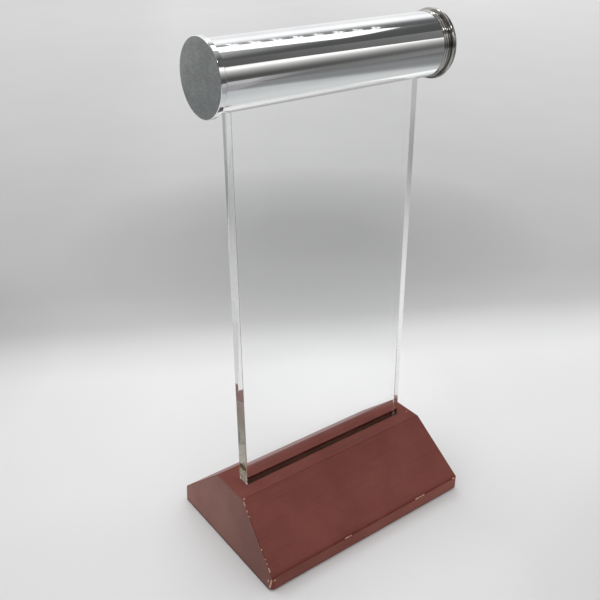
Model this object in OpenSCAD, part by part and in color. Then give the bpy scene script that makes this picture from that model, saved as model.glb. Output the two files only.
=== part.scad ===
// Display stand: painted base block, clear upright panel and a polished tube rest with end caps.
// Millimetres. X runs along the tube, the front faces -Y, Z is up and Z = 0 is the table.

/* [Panel] */
// Width of the clear panel along the tube
panel_width = 112; // [90:1:150]
// Thickness of the panel sheet
panel_thickness = 8; // [6:0.5:12]
// Panel height left open between the base's top and the tube's underside
panel_clear_height = 207; // [140:1:260]
// Polished chamfer on the panel's upright edges
panel_chamfer = 0.4; // [0.1:0.1:1]

/* [Base block] */
// Depth of the slot that the panel stands in
slot_depth = 22; // [14:1:32]
// Wood left under the slot
slot_floor = 15.6; // [12:0.2:24]
// Gap between the panel and the slot on every side
slot_clearance = 0.3; // [0.1:0.05:0.5]
// Flat wood on the top in front of and behind the panel
top_rim = 9; // [5:0.5:20]
// Flat wood on the top beyond each end of the panel
top_margin = 9; // [4:0.5:24]
// Run of the front and back slopes, seen from above
slope_run = 33; // [20:1:50]
// Run of each end face, seen from above
end_run = 5; // [1:0.5:14]
// Height of the upright band round the foot
band_height = 8.6; // [4:0.2:16]
// Radius of the base's long edges and of the top's ends
edge_radius = 1.5; // [0.4:0.1:2.5]
// Radius of the base's edges at the table
low_edge_radius = 0.5; // [0.2:0.1:1.2]
// Radius of the base's upright corners
corner_radius = 3; // [0.5:0.25:5]

/* [Tube] */
// Outside diameter of the tube
tube_diameter = 32; // [30:1:50]
// Wall of the tube
tube_wall = 3; // [1.5:0.25:3.5]
// Length of tube past the panel's right edge; the left end runs on until the caps' faces are centred
tube_past_panel = 5.25; // [5:0.25:30]

/* [End caps] */
// How far the caps stand out past the tube all round
cap_lip = 1.5; // [0.75:0.25:4]
// Thickness of the left cap's flange
cap_flange = 3; // [2:0.25:8]
// Radius of the left cap's edges
cap_edge = 0.4; // [0.1:0.1:0.7]
// Thickness of the right cap's flange
grip_flange = 2.5; // [2:0.25:6]
// Radius of that flange's edges
grip_edge = 0.8; // [0.2:0.1:0.9]
// Width of each of the two round rings on the right cap
grip_ring = 1.5; // [1.3:0.1:2.4]
// How far those rings stand out past the tube
grip_ring_lip = 0.4; // [0.1:0.1:0.6]
// Height of those rings' rounding
grip_ring_round = 0.5; // [0.2:0.1:0.6]
// Width of the hollow groove between the rings and the flange
grip_groove = 1.5; // [1.3:0.1:4]
// Depth of that groove below the feet of the rings
grip_depth = 0.5; // [0.2:0.1:0.6]
// Length of the spigot that enters the tube
spigot_length = 4.5; // [3:0.25:4.75]
// Gap between spigot and bore on every side
spigot_clearance = 0.05; // [0.02:0.01:0.2]

/* [Core rod] */
// Gap between the rod and the tube's bore on every side
core_clearance = 0.15; // [0.05:0.05:0.5]
// Gap between the rod's ends and the spigots
core_end_gap = 0.25; // [0.1:0.05:0.5]
// Distance of the panel's top edge below the tube's axis
seat_drop = 4.5; // [4:0.25:6]

/* [Fixings] */
// Diameter of the socket screws between rod and panel
core_screw_diameter = 3; // [2.5:0.5:3.5]
// Length of those screws inside the panel
core_screw_bite = 7.5; // [5:0.5:8]
// Rod material clamped under those screws' heads
core_screw_grip = 6; // [5:0.25:7]
// Distance between those two screws
core_screw_spacing = 70; // [40:1:76]
// Diameter of the screws between base and panel
base_screw_diameter = 4; // [3:0.5:4.5]
// Length of those screws inside the panel
base_screw_bite = 9; // [6:0.5:12]
// Distance between those two screws
base_screw_spacing = 72; // [40:1:80]
// Depth of the counterbores in the base's underside
counterbore_depth = 5; // [4.5:0.25:8]
// Thickness of the washers
washer_thickness = 0.8; // [0.5:0.1:1.2]
// Diameter of the studs between caps and rod
stud_diameter = 5; // [3:0.5:6]
// Length of each stud inside a cap
stud_cap_bite = 5; // [3:0.25:5.5]
// Length of each stud inside the rod
stud_core_bite = 9; // [6:0.5:14]
// Gap round a screw in a tapped hole
thread_clearance = 0.05; // [0.02:0.01:0.1]
// Gap round a screw, washer or head in a plain hole
screw_clearance = 0.25; // [0.15:0.05:0.4]

/* [Feet] */
// Diameter of the felt pads
foot_diameter = 12; // [8:1:16]
// Thickness of the felt pads
foot_thickness = 0.4; // [0.3:0.1:2]
// Distance of each pad's centre from the base's sides
foot_inset = 12; // [10:1:16]

/* [Hidden] */
$fn = 96;
eps = 0.01;
arc_steps = 8;

base_height = slot_floor + slot_depth;
top_length = panel_width + 2 * top_margin;
base_length = top_length + 2 * end_run;
top_depth = panel_thickness + 2 * top_rim;
base_depth = top_depth + 2 * slope_run;
base_top_z = foot_thickness + base_height;
slot_floor_z = base_top_z - slot_depth;
slot_length = panel_width + 2 * slot_clearance;
slot_width = panel_thickness + 2 * slot_clearance;

tube_radius = tube_diameter / 2;
bore_radius = tube_radius - tube_wall;
axis_z = base_top_z + panel_clear_height + tube_radius;
panel_top_z = axis_z - seat_drop;

cap_radius = tube_radius + cap_lip;
grip_length = 2 * grip_ring + grip_groove + grip_flange;
tube_right_x = panel_width / 2 + tube_past_panel;
tube_left_x = cap_flange - grip_length - tube_right_x;
spigot_radius = bore_radius - spigot_clearance;
core_left_x = tube_left_x + spigot_length + core_end_gap;
core_right_x = tube_right_x - spigot_length - core_end_gap;
core_radius = bore_radius - core_clearance;

core_head_diameter = core_screw_diameter * 1.8;
core_head_height = core_screw_diameter;
core_head_z = panel_top_z + core_screw_grip;
base_head_diameter = base_screw_diameter * 1.9;
base_head_height = base_screw_diameter * 0.6;
washer_diameter = base_screw_diameter * 2.2;
counterbore_z = foot_thickness + counterbore_depth;
base_head_z = counterbore_z - washer_thickness;
foot_x = base_length / 2 - foot_inset;
foot_y = base_depth / 2 - foot_inset;

// Unit vector of v
function unit(v) = v / norm(v);

// Outline of a convex polygon with each corner rounded to its own radius
function rounded(points, radii) = [
    for (i = [0 : len(points) - 1])
        let (
            here = points[i],
            radius = radii[i],
            before = unit(points[(i + len(points) - 1) % len(points)] - here),
            after = unit(points[(i + 1) % len(points)] - here),
            half = acos(before * after) / 2,
            centre = here + unit(before + after) * radius / sin(half),
            start = here + before * radius / tan(half) - centre,
            finish = here + after * radius / tan(half) - centre,
            turn = atan2(start[0] * finish[1] - start[1] * finish[0], start * finish)
        )
        for (k = [0 : arc_steps])
            let (a = turn * k / arc_steps)
            centre + [start[0] * cos(a) - start[1] * sin(a), start[0] * sin(a) + start[1] * cos(a)]
];

// Points on an arc about a centre, from one angle to another
function arc(centre, radius, from, to) = [
    for (k = [0 : arc_steps])
        let (a = from + (to - from) * k / arc_steps)
        centre + radius * [cos(a), sin(a)]
];

// Solid turned about the tube's axis from [radius, x] points
module turned(profile) {
    translate([0, 0, axis_z])
        rotate([0, 90, 0])
            rotate_extrude()
                polygon(profile);
}

// Cylinder on the tube's axis from x0 to x1
module axial(radius, x0, x1) {
    translate([x0, 0, axis_z])
        rotate([0, 90, 0])
            cylinder(r = radius, h = x1 - x0);
}

// Upright cylinder from z0 to z1
module upright(diameter, x, z0, z1) {
    translate([x, 0, z0])
        cylinder(d = diameter, h = z1 - z0);
}

// Section of the base across its length, in Y and Z
module base_section() {
    half = base_depth / 2;
    half_top = top_depth / 2;
    polygon(rounded([
        [-half, foot_thickness],
        [half, foot_thickness],
        [half, foot_thickness + band_height],
        [half_top, base_top_z],
        [-half_top, base_top_z],
        [-half, foot_thickness + band_height]
    ], [low_edge_radius, low_edge_radius, edge_radius, edge_radius, edge_radius, edge_radius]));
}

// Side view of the base with its sloping ends, in X and Z
module base_side() {
    half = base_length / 2;
    half_top = top_length / 2;
    polygon(rounded([
        [-half, foot_thickness],
        [half, foot_thickness],
        [half_top, base_top_z],
        [-half_top, base_top_z]
    ], [low_edge_radius, low_edge_radius, edge_radius, edge_radius]));
}

// Plan of the base with rounded upright corners
module base_plan() {
    polygon(rounded([
        [-base_length / 2, -base_depth / 2],
        [base_length / 2, -base_depth / 2],
        [base_length / 2, base_depth / 2],
        [-base_length / 2, base_depth / 2]
    ], [corner_radius, corner_radius, corner_radius, corner_radius]));
}

module base_block() {
    color([0.38, 0.16, 0.14])
        difference() {
            intersection() {
                translate([-base_length / 2 - 1, 0, 0])
                    rotate([90, 0, 90])
                        linear_extrude(height = base_length + 2)
                            base_section();
                translate([0, base_depth / 2 + 1, 0])
                    rotate([90, 0, 0])
                        linear_extrude(height = base_depth + 2)
                            base_side();
                linear_extrude(height = base_top_z + 1)
                    base_plan();
            }
            translate([-slot_length / 2, -slot_width / 2, slot_floor_z])
                cube([slot_length, slot_width, slot_depth + 1]);
            for (x = [-base_screw_spacing / 2, base_screw_spacing / 2]) {
                upright(washer_diameter + 2 * screw_clearance, x, foot_thickness - 1, counterbore_z);
                upright(base_screw_diameter + 2 * screw_clearance, x, counterbore_z - eps, slot_floor_z + 1);
            }
        }
}

// Panel seen from above, with chamfered upright edges
module panel_plan() {
    x = panel_width / 2;
    y = panel_thickness / 2;
    polygon([
        [-x + panel_chamfer, -y],
        [x - panel_chamfer, -y],
        [x, -y + panel_chamfer],
        [x, y - panel_chamfer],
        [x - panel_chamfer, y],
        [-x + panel_chamfer, y],
        [-x, y - panel_chamfer],
        [-x, -y + panel_chamfer]
    ]);
}

module acrylic_panel() {
    color([0.85, 0.9, 0.92, 0.35])
        difference() {
            translate([0, 0, slot_floor_z])
                linear_extrude(height = panel_top_z - slot_floor_z)
                    panel_plan();
            for (x = [-base_screw_spacing / 2, base_screw_spacing / 2])
                upright(base_screw_diameter + 2 * thread_clearance, x, slot_floor_z - 1,
                    slot_floor_z + base_screw_bite + 1);
            for (x = [-core_screw_spacing / 2, core_screw_spacing / 2])
                upright(core_screw_diameter + 2 * thread_clearance, x, panel_top_z - core_screw_bite - 0.5,
                    panel_top_z + 1);
        }
}

module head_tube() {
    color([0.82, 0.83, 0.84])
        difference() {
            axial(tube_radius, tube_left_x, tube_right_x);
            axial(bore_radius, tube_left_x - 1, tube_right_x + 1);
            translate([-slot_length / 2, -slot_width / 2, axis_z - tube_radius - 1])
                cube([tube_right_x + slot_length / 2 + 1, slot_width, tube_radius]);
        }
}

module core_rod() {
    color([0.08, 0.08, 0.09])
        difference() {
            axial(core_radius, core_left_x, core_right_x);
            translate([core_left_x - 1, -slot_width / 2, axis_z - tube_radius])
                cube([core_right_x - core_left_x + 2, slot_width, tube_radius - seat_drop]);
            for (x = [-core_screw_spacing / 2, core_screw_spacing / 2]) {
                upright(core_screw_diameter + 2 * screw_clearance, x, panel_top_z - 1, core_head_z + 1);
                upright(core_head_diameter + 2 * screw_clearance, x, core_head_z, axis_z + tube_radius);
            }
            axial(stud_diameter / 2 + thread_clearance, core_left_x - 1, core_left_x + stud_core_bite + 0.5);
            axial(stud_diameter / 2 + thread_clearance, core_right_x - stud_core_bite - 0.5,
                core_right_x + 1);
        }
}

module left_end_cap() {
    face_x = tube_left_x - cap_flange;
    end_x = tube_left_x + spigot_length;
    hole_radius = stud_diameter / 2 + thread_clearance;
    hole_x = end_x - stud_cap_bite - 0.25;
    edge_radius_at = cap_radius - cap_edge;
    color([0.72, 0.73, 0.74])
        turned(concat(
            [[0, face_x]],
            arc([edge_radius_at, face_x + cap_edge], cap_edge, -90, 0),
            arc([edge_radius_at, tube_left_x - cap_edge], cap_edge, 0, 90),
            [
                [spigot_radius, tube_left_x],
                [spigot_radius, end_x - cap_edge],
                [spigot_radius - cap_edge, end_x],
                [hole_radius, end_x],
                [hole_radius, hole_x],
                [0, hole_x]
            ]
        ));
}

module right_end_cap() {
    face_x = tube_right_x + grip_length;
    end_x = tube_right_x - spigot_length;
    hole_radius = stud_diameter / 2 + thread_clearance;
    hole_x = end_x + stud_cap_bite + 0.25;
    flange_x = face_x - grip_flange;
    edge_radius_at = cap_radius - grip_edge;
    ring_curve = (pow(grip_ring / 2, 2) + pow(grip_ring_round, 2)) / (2 * grip_ring_round);
    ring_angle = 2 * atan2(grip_ring_round, grip_ring / 2);
    ring_radius_at = tube_radius + grip_ring_lip - ring_curve;
    hollow_curve = (pow(grip_groove / 2, 2) + pow(grip_depth, 2)) / (2 * grip_depth);
    hollow_angle = 2 * atan2(grip_depth, grip_groove / 2);
    hollow_radius_at = tube_radius + grip_ring_lip - grip_ring_round - grip_depth + hollow_curve;
    color([0.72, 0.73, 0.74])
        turned(concat(
            [
                [0, face_x],
                [0, hole_x],
                [hole_radius, hole_x],
                [hole_radius, end_x],
                [spigot_radius - cap_edge, end_x],
                [spigot_radius, end_x + cap_edge],
                [spigot_radius, tube_right_x]
            ],
            arc([ring_radius_at, tube_right_x + grip_ring / 2], ring_curve, -ring_angle, ring_angle),
            arc([ring_radius_at, tube_right_x + grip_ring * 1.5], ring_curve, -ring_angle, ring_angle),
            arc([hollow_radius_at, flange_x - grip_groove / 2], hollow_curve,
                180 + hollow_angle, 180 - hollow_angle),
            arc([edge_radius_at, flange_x + grip_edge], grip_edge, -90, 0),
            arc([edge_radius_at, face_x - grip_edge], grip_edge, 0, 90)
        ));
}

// Stud on the tube's axis with a hexagon socket in its inner end
module stud(x0, x1, socket_x) {
    difference() {
        axial(stud_diameter / 2, x0, x1);
        translate([socket_x, 0, axis_z])
            rotate([0, 90, 0])
                cylinder(d = stud_diameter * 0.55, h = stud_diameter, center = true, $fn = 6);
    }
}

module cap_studs() {
    left_x0 = tube_left_x + spigot_length - stud_cap_bite;
    left_x1 = core_left_x + stud_core_bite;
    right_x0 = core_right_x - stud_core_bite;
    right_x1 = tube_right_x - spigot_length + stud_cap_bite;
    color([0.5, 0.5, 0.52]) {
        stud(left_x0, left_x1, left_x0);
        stud(right_x0, right_x1, right_x1);
    }
}

module core_screws() {
    color([0.3, 0.3, 0.32])
        for (x = [-core_screw_spacing / 2, core_screw_spacing / 2])
            difference() {
                union() {
                    upright(core_screw_diameter, x, panel_top_z - core_screw_bite, core_head_z + eps);
                    upright(core_head_diameter, x, core_head_z, core_head_z + core_head_height);
                }
                translate([x, 0, core_head_z + core_head_height / 2])
                    cylinder(d = core_screw_diameter, h = core_head_height, $fn = 6);
            }
}

module base_screws() {
    recess = base_screw_diameter * 0.22;
    color([0.62, 0.62, 0.64])
        for (x = [-base_screw_spacing / 2, base_screw_spacing / 2])
            difference() {
                union() {
                    upright(base_screw_diameter, x, base_head_z - eps, slot_floor_z + base_screw_bite);
                    upright(base_head_diameter, x, base_head_z - base_head_height, base_head_z);
                }
                for (turn = [0, 90])
                    translate([x, 0, base_head_z - base_head_height])
                        rotate([0, 0, turn])
                            cube([base_head_diameter * 0.55, recess, base_head_height], center = true);
            }
}

module base_washers() {
    color([0.66, 0.66, 0.68])
        for (x = [-base_screw_spacing / 2, base_screw_spacing / 2])
            difference() {
                upright(washer_diameter, x, base_head_z, counterbore_z);
                upright(base_screw_diameter + 2 * screw_clearance, x, base_head_z - 1, counterbore_z + 1);
            }
}

module foot_pads() {
    color([0.16, 0.15, 0.15])
        for (x = [-foot_x, foot_x], y = [-foot_y, foot_y])
            translate([x, y, 0])
                cylinder(d = foot_diameter, h = foot_thickness);
}

base_block();
acrylic_panel();
head_tube();
core_rod();
left_end_cap();
right_end_cap();
cap_studs();
core_screws();
base_screws();
base_washers();
foot_pads();
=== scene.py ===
from math import atan, cos, degrees, pi, radians, sin, sqrt

import bmesh
import bpy
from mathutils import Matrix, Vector


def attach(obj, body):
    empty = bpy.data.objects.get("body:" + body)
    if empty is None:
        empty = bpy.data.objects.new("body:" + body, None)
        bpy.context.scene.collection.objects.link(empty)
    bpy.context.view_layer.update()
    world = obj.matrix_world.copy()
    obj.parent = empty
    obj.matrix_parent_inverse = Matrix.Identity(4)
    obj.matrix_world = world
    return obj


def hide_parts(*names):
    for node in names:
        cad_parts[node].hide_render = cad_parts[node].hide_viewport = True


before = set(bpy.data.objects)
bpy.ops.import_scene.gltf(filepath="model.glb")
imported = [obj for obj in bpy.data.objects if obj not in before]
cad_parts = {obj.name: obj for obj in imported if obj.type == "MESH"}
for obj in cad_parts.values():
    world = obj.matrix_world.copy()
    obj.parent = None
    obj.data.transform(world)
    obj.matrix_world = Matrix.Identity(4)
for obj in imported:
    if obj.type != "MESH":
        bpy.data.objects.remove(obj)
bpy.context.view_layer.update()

mm = 0.001
axisHeight = 261  # the tube's axis above the table, in mm
alongX = (1, 0, 0)
alongZ = (0, 0, 1)
levelTurn = (0, pi / 2, 0)  # lays a cylinder along X


# small helpers for working as in the viewport, with lengths in mm

def metres(values):
    return tuple(v * mm for v in values)


def sizesOf(table, names):
    return [table[name] for name in names.split()]


def noneSelected():
    bpy.ops.object.select_all(action="DESELECT")


def only(obj):
    if bpy.context.mode != "OBJECT":
        bpy.ops.object.mode_set(mode="OBJECT")
    noneSelected()
    obj.select_set(True)
    bpy.context.view_layer.objects.active = obj


def named(name):
    obj = bpy.context.object
    obj.name = name
    obj.data.name = name
    only(obj)
    bpy.ops.object.transform_apply(location=True, rotation=True, scale=True)
    return obj


def addBox(name, centre, size, turn=0):
    noneSelected()
    bpy.ops.mesh.primitive_cube_add(size=1, location=metres(centre), rotation=(0, 0, turn),
                                    scale=metres(size))
    return named(name)


def addCylinder(name, centre, radius, depth, vertices, turn=(0, 0, 0)):
    noneSelected()
    bpy.ops.mesh.primitive_cylinder_add(vertices=vertices, radius=radius * mm, depth=depth * mm,
                                        location=metres(centre), rotation=turn)
    return named(name)


def edit(obj):
    only(obj)
    bpy.ops.object.mode_set(mode="EDIT")
    bpy.ops.mesh.select_all(action="DESELECT")


def done():
    bpy.ops.object.mode_set(mode="OBJECT")


def pickAll():
    bpy.ops.mesh.select_all(action="SELECT")


def pick(kind, test):
    bpy.ops.mesh.select_mode(type=kind)
    bpy.ops.mesh.select_all(action="DESELECT")
    mesh = bpy.context.edit_object.data
    bm = bmesh.from_edit_mesh(mesh)
    bm.normal_update()
    for thing in {"VERT": bm.verts, "EDGE": bm.edges, "FACE": bm.faces}[kind]:
        if test(thing):
            thing.select_set(True)
    bm.select_flush_mode()
    bmesh.update_edit_mesh(mesh)


def middle(edge):
    return (edge.verts[0].co + edge.verts[1].co) / 2


def along(edge):
    return (edge.verts[1].co - edge.verts[0].co).normalized()


def roundEdges(width, segments):
    bpy.ops.mesh.bevel(offset=width * mm, segments=segments, profile=0.5, offset_type="OFFSET")


def pullOut(shift):
    bpy.ops.mesh.extrude_region_move(TRANSFORM_OT_translate={"value": shift})


def cutLevel(height):
    bpy.ops.mesh.bisect(plane_co=(0, 0, height * mm), plane_no=alongZ)


def finishWith(obj, kind, **settings):
    only(obj)
    tool = obj.modifiers.new(kind.lower(), kind)
    for key, value in settings.items():
        setattr(tool, key, value)
    bpy.ops.object.modifier_apply(modifier=tool.name)


def smooth(obj, angle, weighted=True):
    only(obj)
    bpy.ops.object.shade_smooth_by_angle(angle=radians(angle))
    if weighted:
        finishWith(obj, "WEIGHTED_NORMAL", keep_sharp=True, weight=60)


def cutAway(obj, cutter, operation="DIFFERENCE", material="INDEX"):
    finishWith(obj, "BOOLEAN", operation=operation, solver="EXACT", object=cutter, material_mode=material)
    bpy.data.objects.remove(cutter, do_unlink=True)


def arcPoints(centre, radius, start, stop, steps):
    found = []
    for k in range(steps + 1):
        a = radians(start + (stop - start) * k / steps)
        found.append((centre[0] + radius * cos(a), centre[1] + radius * sin(a)))
    return found


# lathe: a chain of points drawn by extruding one vertex, then spun about its axis
def turnProfile(name, points, centre, axis, across, steps):
    noneSelected()
    bpy.ops.mesh.primitive_plane_add(size=mm)
    obj = named(name)
    edit(obj)
    pickAll()
    bpy.ops.mesh.merge(type="CENTER")
    bpy.ops.mesh.select_mode(type="VERT")
    pickAll()
    spots = [Vector(centre) + (Vector(axis) * far + Vector(across) * out) * mm for far, out in points]
    bpy.ops.transform.translate(value=spots[0])
    for before, here in zip(spots, spots[1:]):
        bpy.ops.mesh.extrude_vertices_move(TRANSFORM_OT_translate={"value": here - before})
    pickAll()
    bpy.ops.mesh.spin(steps=steps, angle=2 * pi, center=centre, axis=axis)
    pickAll()
    bpy.ops.mesh.remove_doubles(threshold=0.002 * mm)
    bpy.ops.mesh.normals_make_consistent(inside=False)
    done()
    return obj


def turnLevel(name, points, steps):
    return turnProfile(name, points, (0, 0, axisHeight * mm), alongX, alongZ, steps)


def turnUpright(name, points, x, steps):
    return turnProfile(name, points, (x * mm, 0, 0), alongZ, alongX, steps)


def copyOf(obj, name, shift, turn=0):
    only(obj)
    bpy.ops.object.duplicate(linked=False)
    bpy.context.object.location = metres(shift)
    bpy.context.object.rotation_euler.z = radians(turn)
    return named(name)


def wear(obj, *finishes):
    obj.data.materials.clear()
    for finish in finishes:
        obj.data.materials.append(finish)


def standsFor(obj, node):
    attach(obj, "root")
    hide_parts(node)


# node helpers

def newMaterial(name, metal=0.0):
    mat = bpy.data.materials.new(name)
    mat.use_nodes = True
    shader = mat.node_tree.nodes["Principled BSDF"]
    shader.inputs["Metallic"].default_value = metal
    return mat, mat.node_tree, shader


def feed(tree, socket, value):
    if isinstance(value, bpy.types.NodeSocket):
        tree.links.new(value, socket)
    else:
        socket.default_value = value


def put(tree, kind, values=None, **settings):
    node = tree.nodes.new(kind)
    for key, value in settings.items():
        setattr(node, key, value)
    for key, value in (values or {}).items():
        feed(tree, node.inputs[key], value)
    return node


def objectPlace(tree, scale=(1, 1, 1), shift=(0, 0, 0)):
    coord = put(tree, "ShaderNodeTexCoord").outputs["Object"]
    values = {"Vector": coord, "Scale": scale, "Location": shift}
    return put(tree, "ShaderNodeMapping", values).outputs["Vector"]


def placeOn(tree, axis):
    return put(tree, "ShaderNodeSeparateXYZ", {"Vector": objectPlace(tree)}).outputs[axis]


def noise(tree, place, scale, detail=3.0, roughness=0.55):
    values = {"Vector": place, "Scale": scale, "Detail": detail, "Roughness": roughness}
    return put(tree, "ShaderNodeTexNoise", values).outputs["Fac"]


def ramp(tree, source, stops):
    node = put(tree, "ShaderNodeValToRGB", {"Fac": source})
    points = node.color_ramp.elements
    points.remove(points[1])
    points[0].position = stops[0][0]
    points[0].color = (*stops[0][1], 1)
    for place, colour in stops[1:]:
        points.new(place).color = (*colour, 1)
    return node.outputs["Color"]


# grey stops for a ramp, from places between low and high
def greys(tones, low=0, high=1):
    return [((at - low) / (high - low), (tone, tone, tone)) for at, tone in tones]


def spread(tree, source, low, high, fromLow=0.3, fromHigh=0.7):
    values = {"Value": source, "From Min": fromLow, "From Max": fromHigh, "To Min": low, "To Max": high}
    return put(tree, "ShaderNodeMapRange", values).outputs["Result"]


# runs from low to high between two places along an axis, in mm
def byPlace(tree, axis, start, stop, low=0, high=1):
    return spread(tree, placeOn(tree, axis), low, high, start * mm, stop * mm)


def mix(tree, amount, a, b, blend="MIX"):
    a, b = ((*v, 1) if isinstance(v, tuple) else v for v in (a, b))
    return put(tree, "ShaderNodeMix", {0: amount, 6: a, 7: b}, data_type="RGBA", blend_type=blend).outputs[2]


def times(tree, a, b):
    return mix(tree, 1.0, a, b, "MULTIPLY")


def sums(tree, kind, a, b):
    return put(tree, "ShaderNodeMath", {0: a, 1: b}, operation=kind).outputs[0]


def bump(tree, height, strength, distance, under=None):
    values = {"Height": height, "Strength": strength, "Distance": distance * mm}
    if under:
        values["Normal"] = under
    return put(tree, "ShaderNodeBump", values).outputs["Normal"]


def surface(tree, shader, colour, roughness, normal=None):
    feed(tree, shader.inputs["Base Color"], colour)
    feed(tree, shader.inputs["Roughness"], roughness)
    if normal:
        feed(tree, shader.inputs["Normal"], normal)


# finishes

# dark, middle and light tone of each paint; topPaint, endPaint and bandPaint are the one paint in shaded and
# lit copies: painted shade on the top, painted sheen on the ends, painted light on the band
paintTones = {
    "paint": ((0.165, 0.05, 0.041), (0.186, 0.0575, 0.047), (0.2, 0.065, 0.053)),
    "topPaint": ((0.158, 0.046, 0.037), (0.178, 0.053, 0.043), (0.19, 0.06, 0.049)),
    "endPaint": ((0.19, 0.09, 0.077), (0.215, 0.106, 0.09), (0.236, 0.122, 0.106)),
    "bandPaint": ((0.205, 0.07, 0.054), (0.226, 0.08, 0.062), (0.245, 0.092, 0.072)),
    "slotShadePaint": ((0.06, 0.012, 0.009), (0.075, 0.016, 0.012), (0.09, 0.021, 0.016)),
}
# edge is the colour of the painted shade on the roundings; soaked is a stain of paint in bare wood
paintLook = {"edge": (0.088, 0.014, 0.01), "soaked": (0.78, 0.47, 0.44), "roughness": (0.46, 0.6)}

# dark and light tone of each wood
woodTones = {
    "bareWood": ((0.44, 0.26, 0.18), (0.66, 0.44, 0.34)),
    # sawn wood is made paler than bare wood, partly as painted light where little light reaches into the slot
    "sawnWood": ((0.88, 0.77, 0.56), (0.97, 0.89, 0.71)),
}


def redBrownPaint(name, tone, lowLine=False, fade=None, into=None, sheen=0.05):
    mat, tree, shader = newMaterial(name)
    cloud = noise(tree, objectPlace(tree), 38, 4)
    colour = ramp(tree, cloud, list(zip((0.32, 0.5, 0.68), paintTones[tone])))
    # wood grain shows through the paint along the length
    grain = noise(tree, objectPlace(tree, (9, 210, 210)), 3.2, 5, 0.62)
    lines = ramp(tree, grain, greys([(0.3, 0.8), (0.46, 1), (0.6, 1)]) + [(0.72, (1.0, 0.93, 0.92))])
    colour = mix(tree, 0.75, colour, lines, "MULTIPLY")
    if fade:
        # painted light: the paint is a little paler towards one end
        axis, start, stop, low, high = fade
        paintedLight = ramp(tree, byPlace(tree, axis, start, stop), greys([(0, low), (1, high)]))
        colour = times(tree, colour, paintedLight)
    if into:
        # one painted-light tone runs over into the other round an edge that has no painted edge shade
        other, start, stop = into
        colour = mix(tree, byPlace(tree, "Z", start, stop), colour, paintTones[other][1])
    else:
        # painted shade: the roundings darken by the amount marked on each vertex
        edgeShade = put(tree, "ShaderNodeAttribute", attribute_name="paintedShading").outputs["Fac"]
        if lowLine:
            # painted shade: a dark line just above the band
            foot = greys([(0.32, 0), (0.375, 0.8), (0.42, 0.7), (0.52, 0.15), (0.7, 0)])
            edgeShade = sums(tree, "MAXIMUM", edgeShade, ramp(tree, byPlace(tree, "Z", 6, 14), foot))
        patch = noise(tree, objectPlace(tree), 150, 3)
        amount = sums(tree, "MULTIPLY", edgeShade, spread(tree, patch, 0.55, 1.0))
        colour = mix(tree, amount, colour, paintLook["edge"])
    peel = bump(tree, noise(tree, objectPlace(tree), 900, 3), 0.1, 0.4)
    surface(tree, shader, colour, spread(tree, cloud, *paintLook["roughness"]),
            bump(tree, grain, 0.16, 0.6, peel))
    shader.inputs["Specular IOR Level"].default_value = sheen
    return mat


def bareWood(name, tone, soak=None):
    mat, tree, shader = newMaterial(name)
    fibre = noise(tree, objectPlace(tree, (60, 420, 420)), 3, 4)
    colour = ramp(tree, fibre, list(zip((0.34, 0.6), woodTones[tone])))
    if soak:
        # paint has soaked in from above
        colour = mix(tree, byPlace(tree, "Z", *soak), colour, paintLook["soaked"])
    surface(tree, shader, colour, spread(tree, fibre, 0.66, 0.86), bump(tree, fibre, 0.5, 0.4))
    return mat


def clearAcrylic():
    mat, tree, shader = newMaterial("clearAcrylic")
    cloud = noise(tree, objectPlace(tree), 14, 3)
    colour = ramp(tree, cloud, [(0.3, (0.99, 0.995, 0.995)), (0.7, (1, 1, 1))])
    # the left end is tinted grey along its back edge, near the top, which darkens what is seen through it
    greyedEnd = sums(tree, "MULTIPLY", byPlace(tree, "X", -55.9, -55.7, 1, 0), byPlace(tree, "Y", 0.4, 1.8))
    greyedEnd = sums(tree, "MULTIPLY", greyedEnd, byPlace(tree, "Z", 188, 206))
    surface(tree, shader, mix(tree, greyedEnd, colour, (0.36, 0.39, 0.42)), 0.0)
    shader.inputs["Transmission Weight"].default_value = 1.0
    shader.inputs["IOR"].default_value = 1.49
    # only the long way from edge to edge darkens, as in real sheet
    depth = put(tree, "ShaderNodeVolumeAbsorption", {"Color": (0.862, 0.876, 0.874, 1), "Density": 2.6})
    tree.links.new(depth.outputs["Volume"], tree.nodes["Material Output"].inputs["Volume"])
    return mat


# the panel's foot is left as sawn, with a dab of glue; its pale tone is partly painted light
def sawnAcrylic():
    mat, tree, shader = newMaterial("sawnAcrylic")
    marks = noise(tree, objectPlace(tree, (420, 40, 1)), 1, 4, 0.6)
    colour = ramp(tree, marks, [(0.3, (0.8, 0.69, 0.5)), (0.42, (0.97, 0.88, 0.72)),
                                (0.7, (0.99, 0.93, 0.79))])
    dab = ramp(tree, byPlace(tree, "X", -10, 10), greys([(0.42, 0), (0.46, 1), (0.74, 1), (0.79, 0)]))
    surface(tree, shader, mix(tree, dab, colour, (0.27, 0.18, 0.08)), spread(tree, marks, 0.7, 0.9),
            bump(tree, marks, 0.4, 0.3))
    return mat


def polishedMetal():
    mat, tree, shader = newMaterial("polishedMetal", 1.0)
    turned = noise(tree, objectPlace(tree, (2600, 6, 6)), 1, 3, 0.7)
    streak = noise(tree, objectPlace(tree, (420, 14, 14)), 1, 4, 0.6)
    haze = noise(tree, objectPlace(tree), 45, 3)
    colour = ramp(tree, haze, [(0.3, (0.8, 0.81, 0.825)), (0.7, (0.88, 0.885, 0.89))])
    # painted highlight: the colour is paler along the underside
    colour = mix(tree, byPlace(tree, "Z", 253.0, 255.5, 1, 0), colour, (0.985, 0.985, 0.975))
    lines = bump(tree, turned, 0.0015, 0.2)
    surface(tree, shader, colour, spread(tree, streak, 0.03, 0.06), bump(tree, streak, 0.004, 0.6, lines))
    return mat
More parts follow.
